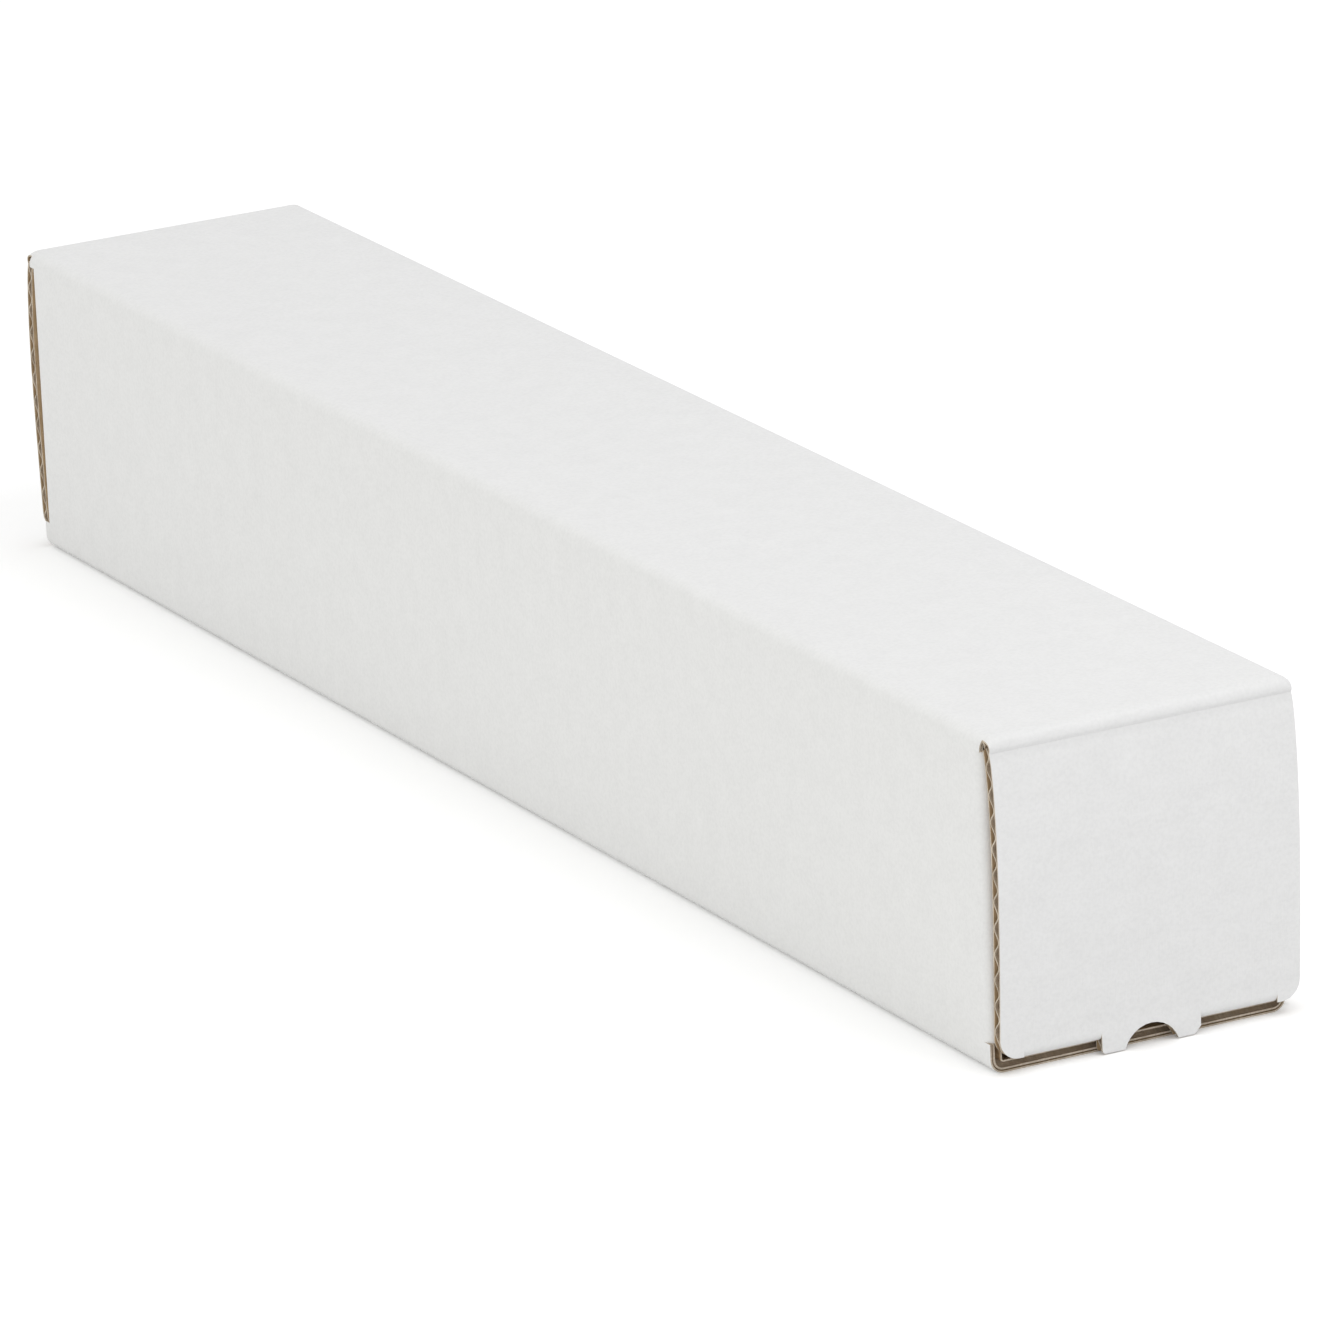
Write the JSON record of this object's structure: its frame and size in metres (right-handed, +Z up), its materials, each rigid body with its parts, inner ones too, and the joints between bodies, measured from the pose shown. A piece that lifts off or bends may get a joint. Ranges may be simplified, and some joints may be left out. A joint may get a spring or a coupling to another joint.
{
  "type": "long corrugated mailer box",
  "caption": "Long square corrugated mailer box folded from one blank, white outside and brown inside, with hinged tuck flaps at both ends.",
  "frame": {"origin": "centre of the box's plan, on the underside it rests on", "axes": "+X across the box, towards the wall with the glued seam; +Y along the box, from the near end to the far end; +Z up"},
  "size_m": [0.0822, 0.5244, 0.0822],
  "materials": {
    "box_board": "matt white-faced corrugated board, brown inside",
    "near_flap_board": "matt white-faced corrugated board, brown inside",
    "far_flap_board": "matt white-faced corrugated board, brown inside"
  },
  "bodies": {
    "box": {"box_body": "box_board"},
    "near_flap": {"near_end_flap": "near_flap_board"},
    "far_flap": {"far_end_flap": "far_flap_board"}
  },
  "joints": [
    {"name": "near_flap_hinge", "type": "hinge", "parent": "box", "child": "near_flap", "pos_m": [0, -0.2603, 0.0822], "axis": [-1, 0, 0], "range_deg": [0, 180]},
    {"name": "far_flap_hinge", "type": "hinge", "parent": "box", "child": "far_flap", "pos_m": [0, 0.2603, 0.0822], "axis": [1, 0, 0], "range_deg": [0, 180]}
  ]
}
